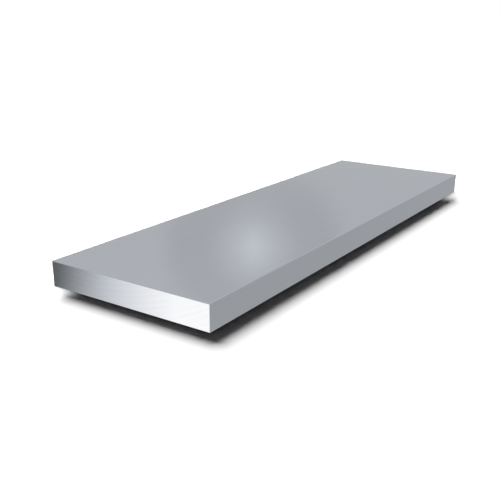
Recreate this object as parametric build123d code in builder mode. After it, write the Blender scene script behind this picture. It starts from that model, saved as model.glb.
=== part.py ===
from build123d import *
import os

# Metal flat bar: one cut length of drawn flat stock, lying on its wide face.
# X runs along the length, Y across the width and Z through the thickness.
# The origin is at the middle of the underside, so the bar rests on Z = 0.

# Driving dimensions (mm)
length = 350.0  # cut length
width = 110.0  # nominal width of the section
thickness = 15.0  # nominal thickness of the section
arris_radius = 0.25  # the die leaves the four long edges nearly sharp
end_break = 0.2  # 45 degree deburr round each cut end, smaller than the round

# The section stands on the plane of the left-hand end, with its lower edge at Z = 0
left_end = Plane.YZ.offset(-length / 2)

with BuildPart() as flat_bar:
    with BuildSketch(left_end) as section:
        RectangleRounded(width, thickness, arris_radius, align=(Align.CENTER, Align.MIN))
    extrude(amount=length)

    # Both square-cut ends: the deburr follows the section round its corners
    cut_ends = flat_bar.faces().filter_by(Axis.X)
    chamfer(cut_ends.edges(), length=end_break)

flat_bar.part.label = "flat_bar"

os.makedirs("parts", exist_ok=True)
export_step(flat_bar.part, "parts/flat_bar.step")
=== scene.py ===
import math

import bpy
import numpy as np
from mathutils import Matrix, Vector


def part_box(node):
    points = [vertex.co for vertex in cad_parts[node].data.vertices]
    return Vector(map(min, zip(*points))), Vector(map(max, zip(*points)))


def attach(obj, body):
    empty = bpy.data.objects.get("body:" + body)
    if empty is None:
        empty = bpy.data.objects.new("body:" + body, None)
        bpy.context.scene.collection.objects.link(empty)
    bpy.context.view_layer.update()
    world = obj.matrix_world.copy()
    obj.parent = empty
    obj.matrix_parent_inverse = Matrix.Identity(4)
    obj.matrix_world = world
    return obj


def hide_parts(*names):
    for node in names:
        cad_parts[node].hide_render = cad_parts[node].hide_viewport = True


mm = 0.001

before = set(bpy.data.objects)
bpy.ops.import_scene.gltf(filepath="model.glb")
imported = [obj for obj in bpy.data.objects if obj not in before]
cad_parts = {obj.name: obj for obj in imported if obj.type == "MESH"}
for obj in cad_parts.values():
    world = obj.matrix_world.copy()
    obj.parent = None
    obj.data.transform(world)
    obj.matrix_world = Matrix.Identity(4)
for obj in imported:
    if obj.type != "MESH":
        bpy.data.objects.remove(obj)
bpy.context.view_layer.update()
barLow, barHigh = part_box("flat_bar")
print("frame loaded, bar of", [round((high - low) / mm, 2) for low, high in zip(barLow, barHigh)], "mm")


# The bar's mesh: a closed skin with its real edges and the shallow marks of drawing and sawing
barShape = {
    "arrisRound": 0.25 * mm,  # left by the die along the four long edges
    "endBreak": 0.2 * mm,  # deburr round the two cut ends
    "endCrown": 0.02 * mm,  # how far the filed deburr bulges
    "edgeSteps": 3,  # faces on half of a rounded edge, and across a deburr
    "wornReach": 1.0 * mm,  # how far the rubbed look of a cut end spreads along the bar
    "lengthStep": 5.0 * mm,
    "sectionStep": 1.0 * mm,
    "dieDepth": 0.003 * mm,
    "dieBands": (5.3 * mm, 8.9 * mm, 17.0 * mm, 31.0 * mm),  # widths of the die's shallow waves
    "dieShift": 1.7,  # how far each band starts after the one before, in radians
    "dieDrift": 0.6 * mm,  # how far the waves wander sideways
    "dieDriftLength": 700.0 * mm,
    "sawDepth": 0.004 * mm,
    "sawPitch": 3.2 * mm,  # feed marks of the saw
    "sawRim": 1.5 * mm,  # the feed marks fade out over this margin
    "bladeAcross": 32.0 * mm,  # the saw blade's centre, from the bar's middle line
    "bladeHeight": 165.0 * mm,
    "rimShare": 0.999,  # a point with this much of the full reach from the core is on the outside
}
bladeAt = Vector((0.0, barShape["bladeAcross"], barShape["bladeHeight"]))


def sectionLines(low, high):
    # equal angles apart over the rounded edges, and evenly spaced between them
    arris = barShape["arrisRound"]
    steps = barShape["edgeSteps"]
    halfEdge = math.pi / 4  # from a flat to the middle of the edge beside it
    rim = [arris * (1 - math.tan(halfEdge * n / steps)) for n in range(steps, 0, -1)]
    flat = high - low - 2 * arris
    count = max(1, round(flat / barShape["sectionStep"]))
    middle = [low + arris + flat * n / count for n in range(count + 1)]
    return [low + r for r in rim] + middle + [high - r for r in reversed(rim)]


def lengthLines(low, high):
    # close together over the deburr, then one line where the rubbed look ends
    steps = barShape["edgeSteps"]
    rim = [barShape["endBreak"] * n / steps for n in range(steps + 1)]
    rim.append(barShape["endBreak"] + barShape["wornReach"])
    flat = high - low - 2 * rim[-1]
    count = max(1, round(flat / barShape["lengthStep"]))
    middle = [low + rim[-1] + flat * n / count for n in range(1, count)]
    return [low + r for r in rim] + middle + [high - r for r in reversed(rim)]


def skinOfBlock(lines):
    # every outside point of a block of mesh lines, and the quads between them
    numbers = {}
    points = []
    quads = []
    atEnd = []

    def numberOf(cell):
        if cell not in numbers:
            numbers[cell] = len(points)
            points.append([lines[axis][cell[axis]] for axis in range(3)])
        return numbers[cell]

    for axis in range(3):
        u = (axis + 1) % 3
        v = (axis + 2) % 3
        for side in (0, len(lines[axis]) - 1):
            for i in range(len(lines[u]) - 1):
                for j in range(len(lines[v]) - 1):
                    corners = []
                    for iStep, jStep in ((0, 0), (1, 0), (1, 1), (0, 1)):
                        cell = [side, side, side]
                        cell[u] = i + iStep
                        cell[v] = j + jStep
                        corners.append(numberOf(tuple(cell)))
                    quads.append(corners if side else corners[::-1])
                    atEnd.append(axis == 0)
    return np.array(points), quads, atEnd


def dieWaves(points):
    # one set of waves runs across the wide faces and down the narrow ones
    around = points[:, 1] + points[:, 2]
    drift = barShape["dieDrift"] * np.sin(points[:, 0] * 2 * math.pi / barShape["dieDriftLength"])
    waves = [
        np.sin((around + drift) * 2 * math.pi / width + barShape["dieShift"] * n)
        for n, width in enumerate(barShape["dieBands"])
    ]
    return (sum(waves) / len(waves) + 1) / 2 * barShape["dieDepth"]


def sawArcs(points, fromRim):
    fromBlade = np.hypot(points[:, 1] - bladeAt.y, points[:, 2] - bladeAt.z)
    arcs = (np.sin(fromBlade * 2 * math.pi / barShape["sawPitch"]) + 1) / 2
    return arcs * barShape["sawDepth"] * np.clip(fromRim / barShape["sawRim"], 0, 1)


def makeBar():
    low = np.array(barLow)
    high = np.array(barHigh)
    lines = [lengthLines(low[0], high[0]), sectionLines(low[1], high[1]), sectionLines(low[2], high[2])]
    points, quads, atEnd = skinOfBlock(lines)

    # how far a point is into the deburr: 0 on the long faces, 1 on the cut face
    fromEnd = np.minimum(points[:, 0] - low[0], high[0] - points[:, 0])
    broken = np.clip(1 - fromEnd / barShape["endBreak"], 0, 1)
    crown = barShape["endCrown"] * np.sin(math.pi * broken)
    inset = barShape["endBreak"] * broken - crown

    # the square rim of the section is drawn in onto its rounded corners
    arris = barShape["arrisRound"]
    core = np.clip(points[:, 1:], low[1:] + arris, high[1:] - arris)
    outward = points[:, 1:] - core
    reach = np.abs(outward).max(axis=1) / arris
    length = np.linalg.norm(outward, axis=1)
    outward /= np.where(length > 0, length, 1)[:, None]
    onRim = reach > barShape["rimShare"]
    turned = np.abs(outward).min(axis=1) * math.sqrt(2)  # 1 in the middle of a rounded edge, 0 off it
    fromRim = np.minimum(core - low[1:], high[1:] - core).min(axis=1) - arris

    # marks go inward only, so the bar keeps its size
    onLongFace = onRim & (broken == 0)
    onCutFace = (broken == 1) & (reach == 0)
    depth = dieWaves(points) * onLongFace
    points[:, 1:] = core + outward * (reach * (arris - inset) - depth)[:, None]
    points[:, 0] -= np.sign(points[:, 0]) * sawArcs(points, fromRim) * onCutFace
    worn = np.where(onRim & (broken > 0), 1, np.where(onRim & (turned > 0), (1 + turned) / 2, 0))

    mesh = bpy.data.meshes.new("flatBar")
    mesh.from_pydata(points.tolist(), [], quads)
    mesh.polygons.foreach_set("use_smooth", [True] * len(quads))
    mesh.polygons.foreach_set("material_index", [int(end) for end in atEnd])
    rubbed = mesh.attributes.new("worn", "FLOAT", "POINT")
    rubbed.data.foreach_set("value", worn.astype(np.float32))
    mesh.update()
    mesh.validate()
    piece = bpy.data.objects.new("flatBar", mesh)
    bpy.context.scene.collection.objects.link(piece)
    return piece


bar = makeBar()
print("bar mesh of", len(bar.data.vertices), "points and", len(bar.data.polygons), "faces")


# Small helpers for node trees
def node(tree, kind, settings=None, **values):
    # options first, then inputs: by name with _ for a space, or by number as in _0
    made = tree.nodes.new(kind)
    for name, value in (settings or {}).items():
        setattr(made, name, value)
    for name, value in values.items():
        key = int(name[1:]) if name[0] == "_" else name.replace("_", " ")
        if isinstance(value, bpy.types.NodeSocket):
            tree.links.new(value, made.inputs[key])
        else:
            made.inputs[key].default_value = value
    return made


def numbered(values):
    return {"_" + str(n): value for n, value in enumerate(values)}


def numberMath(tree, operation, *values):
    return node(tree, "ShaderNodeMath", {"operation": operation}, **numbered(values)).outputs[0]


def vectorMath(tree, operation, *values):
    return node(tree, "ShaderNodeVectorMath", {"operation": operation}, **numbered(values)).outputs


def mixNumbers(tree, share, first, second):
    return node(tree, "ShaderNodeMix", {"data_type": "FLOAT"}, _0=share, _2=first, _3=second).outputs[0]


def mixColours(tree, share, first, second):
    return node(tree, "ShaderNodeMix", {"data_type": "RGBA"}, _0=share, _6=first, _7=second).outputs[2]


def inRange(tree, value, start, end):
    # 0 at the start to 1 at the end, and no further
    return node(tree, "ShaderNodeMapRange", Value=value, From_Min=start, From_Max=end).outputs[0]


def emptyMaterial(name):
    material = bpy.data.materials.new(name)
    material.use_nodes = True
    material.node_tree.nodes.clear()
    return material, material.node_tree


# The two finishes of the bar. Colours are linear, and a shade is a share of the colour
drawnFinish = {
    "colour": (0.394, 0.415, 0.442),
    "edgeTint": (0.845, 0.86, 0.885, 1),  # steel mirrors a little less than a plain metal at a low angle
    "roughness": 0.11,
    "lineScale": (12.0, 2600.0, 2600.0),  # fine draw lines, features per metre
    "lineShade": 0.05,
    "lineHeight": 0.0005 * mm,
    "streakScale": (5.0, 420.0, 420.0),  # wider streaks
    "streakShade": 0.05,
    "filmScale": (14.0, 30.0, 30.0),  # faint patches of the drawing oil
    "filmShade": 0.03,
    "filmRoughness": 0.04,
    "wornShade": 0.02,  # edges rubbed brighter
}
sawnFinish = {
    "colour": (0.58, 0.59, 0.615),
    "edgeTint": (0.86, 0.86, 0.86, 1),
    "roughness": 0.22,
    "arcScale": 1500.0,  # fine scratches round the blade's centre, per metre outward
    "alongScale": 40.0,  # and along each scratch
    "arcShade": 0.06,
    "arcHeight": 0.001 * mm,
    "feedShade": 0.02,
    "filmScale": (60.0, 60.0, 60.0),
    "filmShade": 0.04,
    "filmRoughness": 0.06,
    "wornShade": 0.06,
}
noiseDetail = 2.0


def noise(tree, place, scale):
    stretched = vectorMath(tree, "MULTIPLY", place, scale)[0]
    return node(tree, "ShaderNodeTexNoise", Vector=stretched, Scale=1.0, Detail=noiseDetail).outputs["Fac"]


def shadeSum(tree, parts):
    # 1 plus each pattern's swing about its middle
    total = 1.0
    for pattern, amount in parts:
        swing = numberMath(tree, "MULTIPLY_ADD", pattern, amount, -amount / 2)
        total = numberMath(tree, "ADD", swing, total)
    return total


def steelShader(tree, finish, shade, film, relief, reliefHeight):
    rubbed = node(tree, "ShaderNodeAttribute", {"attribute_name": "worn"}).outputs["Fac"]
    shade = numberMath(tree, "MULTIPLY_ADD", rubbed, finish["wornShade"], shade)
    colour = node(tree, "ShaderNodeVectorMath", {"operation": "SCALE"}, _0=finish["colour"], Scale=shade)
    smoothest = finish["roughness"] - finish["filmRoughness"] / 2
    rough = numberMath(tree, "MULTIPLY_ADD", film, finish["filmRoughness"], smoothest)
    bump = node(tree, "ShaderNodeBump", Height=relief, Strength=1.0, Distance=reliefHeight)
    shader = node(tree, "ShaderNodeBsdfPrincipled", Base_Color=colour.outputs[0], Metallic=1.0,
                  Roughness=rough, Specular_Tint=finish["edgeTint"], Normal=bump.outputs[0])
    node(tree, "ShaderNodeOutputMaterial", Surface=shader.outputs[0])


def drawnSteel():
    material, tree = emptyMaterial("drawnSteel")
    place = node(tree, "ShaderNodeTexCoord").outputs["Object"]
    lines = noise(tree, place, drawnFinish["lineScale"])
    streaks = noise(tree, place, drawnFinish["streakScale"])
    film = noise(tree, place, drawnFinish["filmScale"])
    shade = shadeSum(tree, ((lines, drawnFinish["lineShade"]), (streaks, drawnFinish["streakShade"]),
                            (film, drawnFinish["filmShade"])))
    steelShader(tree, drawnFinish, shade, film, lines, drawnFinish["lineHeight"])
    return material


def sawnSteel():
    material, tree = emptyMaterial("sawnSteel")
    place = node(tree, "ShaderNodeTexCoord").outputs["Object"]
    onFace = vectorMath(tree, "MULTIPLY", place, (0, 1, 1))[0]
    fromBlade = vectorMath(tree, "DISTANCE", onFace, bladeAt)["Value"]
    across = node(tree, "ShaderNodeSeparateXYZ", Vector=place).outputs["Y"]
    arcPlace = node(tree, "ShaderNodeCombineXYZ", X=fromBlade, Y=across).outputs[0]
    arcs = noise(tree, arcPlace, (sawnFinish["arcScale"], sawnFinish["alongScale"], 1))
    turns = numberMath(tree, "MULTIPLY", fromBlade, 2 * math.pi / barShape["sawPitch"])
    feed = numberMath(tree, "MULTIPLY_ADD", numberMath(tree, "SINE", turns), 0.5, 0.5)  # from 0 to 1
    film = noise(tree, place, sawnFinish["filmScale"])
    shade = shadeSum(tree, ((arcs, sawnFinish["arcShade"]), (feed, sawnFinish["feedShade"]),
                            (film, sawnFinish["filmShade"])))
    steelShader(tree, sawnFinish, shade, film, arcs, sawnFinish["arcHeight"])
    return material


bar.data.materials.append(drawnSteel())
bar.data.materials.append(sawnSteel())
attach(bar, "root")
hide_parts("flat_bar")
print("finishes on")


# The studio: a white floor, one soft key and two small spots, and a pale sky with soft round lamps in it.
# The floor and sky have levels of their own for the rays that the metal mirrors.
studio = {
    "keyHeading": 49.6,  # where the key stands, degrees from +X towards +Y
    "keyHeight": 39.0,
    "keyWidth": 29.0,  # degrees across
    "spots": (  # where each shines straight down, and how wide
        {"place": (-181.0 * mm, 63.0 * mm), "reach": 30.0 * mm, "power": 3.78},
        {"place": (188.0 * mm, -58.5 * mm), "reach": 53.5 * mm, "power": 2.47},
    ),
    "spotHeight": 250.0 * mm,
    "spotRadius": 5.0 * mm,
    "fill": 0.028,  # the sky's level on matt things
    "floorTone": 0.8,
    "floorSeen": 1.18,  # the same floor where the camera looks at it, just past white
    "floorReach": 60.0,
    "contactReach": 7.0 * mm,  # painted contact shadow: the floor's colour darkens this close to the bar
    "contactSamples": 8,
    "floorMirrored": 0.765,
    "horizonMirrored": 0.62,
    "skyMirrored": 1.0,
    "skyFrom": 21.0,  # height in degrees where the sky is full
    # heading and height of each soft lamp in the sky
    "lamps": ((33.75, 18.14), (135.0, 25.0), (225.0, 25.0), (315.0, 15.0), (0.0, 90.0)),
    "lampSquash": 1.2,  # how much flatter than wide a lamp is
    "lampPeak": 1.6,  # the highest level that the rings may have
    # degrees out from a lamp's middle, and the level there against the sky round it
    "lampRings": ((0.0, 1.56), (1.0, 1.27), (2.0, 1.1), (3.0, 0.98), (4.0, 0.89), (5.0, 0.882),
                  (6.0, 0.876), (7.0, 0.94), (8.0, 1.01), (9.0, 1.0)),
}
# pale cards on the floor before the cut ends, which show only in the metal and darken across the bar
endCards = {
    "left": {
        "side": -1,
        "slant": 0.965,  # across per outward, the way the tones run
        "tones": ((1.65, 1.63, 1.6, 1), (1.02, 1.05, 1.08, 1), (0.07, 0.085, 0.085, 1)),
        "front": (-1.0, -0.5),  # the slopes at which the card fades in past the bar's front edge
        "back": (1.9, 1.35),  # and past its back edge
    },
    "right": {
        "side": 1,
        "slant": 1.7,
        "tones": ((1.5, 1.49, 1.47, 1), (1.0, 1.02, 1.04, 1), (0.55, 0.57, 0.57, 1)),
        "front": (-0.2, 0.8),
        "back": (1.3, 0.3),
    },
    "across": (20.0 * mm, 63.0 * mm, 115.0 * mm),  # where the three tones lie, from the bar's front edge
    "out": (110.0 * mm, 50.0 * mm),  # from the bar's end, fades in between these
}


def direction(heading, height):
    turn = math.radians(heading)
    lift = math.radians(height)
    return Vector((math.cos(turn) * math.cos(lift), math.sin(turn) * math.cos(lift), math.sin(lift)))


def rayKinds(tree):
    # camera rays, and the rays that shiny or clear things send on before any matt bounce
    path = node(tree, "ShaderNodeLightPath").outputs
    bright = numberMath(tree, "MAXIMUM", path["Is Glossy Ray"], path["Is Transmission Ray"])
    direct = numberMath(tree, "LESS_THAN", path["Diffuse Depth"], 1.0)
    return path["Is Camera Ray"], numberMath(tree, "MULTIPLY", bright, direct)


def lampLevel(tree, towards, heading, height):
    squash = (1.0, 1.0, studio["lampSquash"])
    middle = direction(heading, height) * Vector(squash)
    apart = vectorMath(tree, "DISTANCE", vectorMath(tree, "MULTIPLY", towards, squash)[0], middle)
    outermost = studio["lampRings"][-1][0]
    share = inRange(tree, apart["Value"], 0.0, math.radians(outermost))
    rings = node(tree, "ShaderNodeFloatCurve", Value=share)
    curve = rings.mapping.curves[0]
    for n, (away, level) in enumerate(studio["lampRings"]):
        spot = (away / outermost, level / studio["lampPeak"])
        if n < 2:
            curve.points[n].location = spot  # a new curve has two points already
        else:
            curve.points.new(*spot)
    rings.mapping.update()
    return numberMath(tree, "MULTIPLY", rings.outputs[0], studio["lampPeak"])


def makeSky():
    world = bpy.data.worlds.new("studioSky")
    bpy.context.scene.world = world
    world.use_nodes = True
    tree = world.node_tree
    tree.nodes.clear()
    seen, mirrored = rayKinds(tree)
    towards = node(tree, "ShaderNodeTexCoord").outputs["Generated"]
    climb = node(tree, "ShaderNodeSeparateXYZ", Vector=towards).outputs["Z"]
    share = inRange(tree, climb, 0.0, math.sin(math.radians(studio["skyFrom"])))
    level = mixNumbers(tree, share, studio["horizonMirrored"], studio["skyMirrored"])
    for heading, height in studio["lamps"]:
        level = numberMath(tree, "MULTIPLY", level, lampLevel(tree, towards, heading, height))
    level = mixNumbers(tree, mirrored, studio["fill"], level)
    level = mixNumbers(tree, seen, level, 1.0)
    glow = node(tree, "ShaderNodeBackground", Color=(1, 1, 1, 1), Strength=level)
    node(tree, "ShaderNodeOutputWorld", Surface=glow.outputs[0])


def layCard(tree, place, card, under):
    # lays one end's card over the tone that the metal mirrors elsewhere
    parts = node(tree, "ShaderNodeSeparateXYZ", Vector=place).outputs
    out = numberMath(tree, "MULTIPLY_ADD", parts["X"], card["side"], -barHigh.x)
    pastFront = numberMath(tree, "SUBTRACT", parts["Y"], barLow.y)
    pastBack = numberMath(tree, "SUBTRACT", parts["Y"], barHigh.y)
    slanted = numberMath(tree, "MULTIPLY_ADD", out, -card["slant"], pastFront)
    near, between, far = endCards["across"]
    bright, middle, dark = card["tones"]
    tone = mixColours(tree, inRange(tree, slanted, near, between), bright, middle)
    tone = mixColours(tree, inRange(tree, slanted, between, far), tone, dark)

    inside = numberMath(tree, "GREATER_THAN", out, 0.0)
    for value, edge in ((numberMath(tree, "DIVIDE", pastFront, out), card["front"]),
                        (numberMath(tree, "DIVIDE", pastBack, out), card["back"]), (out, endCards["out"])):
        inside = numberMath(tree, "MULTIPLY", inside, inRange(tree, value, *edge))
    return mixColours(tree, inside, under, tone)


def makeFloor():
    material, tree = emptyMaterial("paleFloor")
    material.cycles.emission_sampling = "NONE"
    seen, mirrored = rayKinds(tree)
    place = node(tree, "ShaderNodeTexCoord").outputs["Object"]
    # painted contact shadow: ambient occlusion darkens the floor's colour near the bar, for camera rays
    # only
    paintedContactShade = node(tree, "ShaderNodeAmbientOcclusion", {"samples": studio["contactSamples"]},
                    Distance=studio["contactReach"]).outputs["AO"]
    shown = numberMath(tree, "MULTIPLY", paintedContactShade, studio["floorSeen"])
    level = mixNumbers(tree, seen, studio["floorTone"], shown)
    grey = node(tree, "ShaderNodeCombineXYZ", X=level, Y=level, Z=level).outputs[0]
    matt = node(tree, "ShaderNodeBsdfDiffuse", Color=grey)

    tone = (studio["floorMirrored"],) * 3 + (1,)
    for end in ("left", "right"):
        tone = layCard(tree, place, endCards[end], tone)
    plain = node(tree, "ShaderNodeEmission", Color=tone, Strength=1.0)
    both = node(tree, "ShaderNodeMixShader", _0=mirrored, _1=matt.outputs[0], _2=plain.outputs[0])
    node(tree, "ShaderNodeOutputMaterial", Surface=both.outputs[0])

    reach = studio["floorReach"]
    corners = [(-reach, -reach, 0), (reach, -reach, 0), (reach, reach, 0), (-reach, reach, 0)]
    mesh = bpy.data.meshes.new("floor")
    mesh.from_pydata(corners, [], [(0, 1, 2, 3)])
    mesh.materials.append(material)
    floor = bpy.data.objects.new("floor", mesh)
    bpy.context.scene.collection.objects.link(floor)


def makeKey():
    # as strong as it takes for a level surface to show its tone as written
    lamp = bpy.data.lights.new("key", "SUN")
    lamp.energy = math.pi / math.sin(math.radians(studio["keyHeight"]))
    lamp.angle = math.radians(studio["keyWidth"])
    key = bpy.data.objects.new("key", lamp)
    key.rotation_mode = "QUATERNION"
    key.rotation_quaternion = direction(studio["keyHeading"], studio["keyHeight"]).to_track_quat("Z", "Y")
    key.visible_glossy = False
    bpy.context.scene.collection.objects.link(key)


def makeSpots():
    # straight down beside two corners of the bar, where they clear the key's shadow away
    for pool in studio["spots"]:
        lamp = bpy.data.lights.new("spot", "SPOT")
        lamp.energy = pool["power"]
        lamp.spot_size = 2 * math.atan(pool["reach"] / studio["spotHeight"])
        lamp.spot_blend = 1.0
        lamp.shadow_soft_size = studio["spotRadius"]
        spot = bpy.data.objects.new("spot", lamp)
        spot.location = (*pool["place"], studio["spotHeight"])
        spot.visible_glossy = False
        bpy.context.scene.collection.objects.link(spot)


makeSky()
makeFloor()
makeKey()
makeSpots()
print("studio ready")


# The camera looks down along the bar from its near left corner
camera = {
    "place": (-425.75 * mm, -247.58 * mm, 146.84 * mm),
    "heading": 34.07,  # degrees from +X towards +Y
    "tilt": -17.466,
    "roll": 0.22,
    "lens": 51.7,
    "nearest": 0.01,
    "furthest": 200.0,
}


def makeCamera():
    lens = bpy.data.cameras.new("camera")
    lens.lens = camera["lens"]
    lens.clip_start = camera["nearest"]
    lens.clip_end = camera["furthest"]
    made = bpy.data.objects.new("camera", lens)
    turn = Matrix.Rotation(math.radians(camera["heading"] - 90), 4, "Z")
    lean = Matrix.Rotation(math.radians(90 + camera["tilt"]), 4, "X")
    roll = Matrix.Rotation(math.radians(camera["roll"]), 4, "Z")
    made.matrix_world = Matrix.Translation(camera["place"]) @ turn @ lean @ roll
    bpy.context.scene.collection.objects.link(made)
    bpy.context.scene.camera = made


makeCamera()
bpy.context.scene.view_settings.view_transform = "Standard"
bpy.context.view_layer.update()
print("camera ready")
